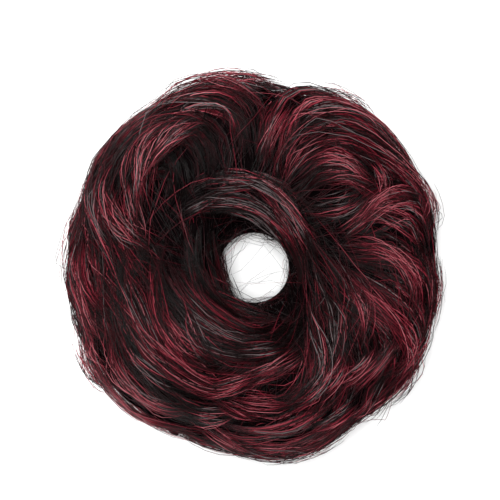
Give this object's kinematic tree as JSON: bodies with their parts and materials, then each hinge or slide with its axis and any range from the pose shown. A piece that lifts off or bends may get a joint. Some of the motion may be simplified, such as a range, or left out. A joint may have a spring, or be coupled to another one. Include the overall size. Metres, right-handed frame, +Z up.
{
  "type": "top knot hairpiece",
  "caption": "Ring of wound false hair on a hidden elastic band, dressed with curled locks that whirl round an open ponytail hole.",
  "frame": {"origin": "middle of the box round the hairpiece, on the table that it lies on", "axes": "+Z up along the ponytail hole, out of the dressed side; +Y towards the top of the reference picture and +X towards its right"},
  "size_m": [0.1492, 0.1522, 0.0508],
  "materials": {
    "wine_hair": "synthetic hair, black and wine-red fibres mixed, satin sheen along the strands",
    "dark_hair": "synthetic hair, mostly black fibres, wound round the ring",
    "elastic": "black braided elastic, matt"
  },
  "bodies": {
    "root": {"lock_right_rim": "wine_hair", "lock_lower_left_rim": "wine_hair", "lock_bottom_rim": "wine_hair", "lock_upper_left_core": "wine_hair", "lock_upper_left_inner": "wine_hair", "lock_upper_left_outer": "wine_hair", "lock_upper_right_inner": "wine_hair", "lock_upper_right_middle": "wine_hair", "lock_upper_right_outer": "wine_hair", "lock_right_upper": "wine_hair", "lock_lower_right_inner": "wine_hair", "lock_right_middle": "wine_hair", "lock_bottom_outer": "wine_hair", "lock_lower_right_outer": "wine_hair", "lock_lower_left_outer": "wine_hair", "lock_bottom_middle": "wine_hair", "lock_lower_right_sweep": "wine_hair", "lock_hole_bottom": "wine_hair", "lock_hole_left": "wine_hair", "lock_hole_top": "wine_hair", "rim_lock_1": "wine_hair", "rim_lock_2": "wine_hair", "rim_lock_3": "wine_hair", "rim_lock_4": "wine_hair", "rim_lock_5": "wine_hair", "rim_lock_6": "wine_hair", "rim_lock_7": "wine_hair", "rim_lock_8": "wine_hair", "rim_lock_9": "wine_hair", "rim_lock_10": "wine_hair", "wound_hair": "dark_hair", "elastic_band": "elastic"}
  },
  "joints": []
}
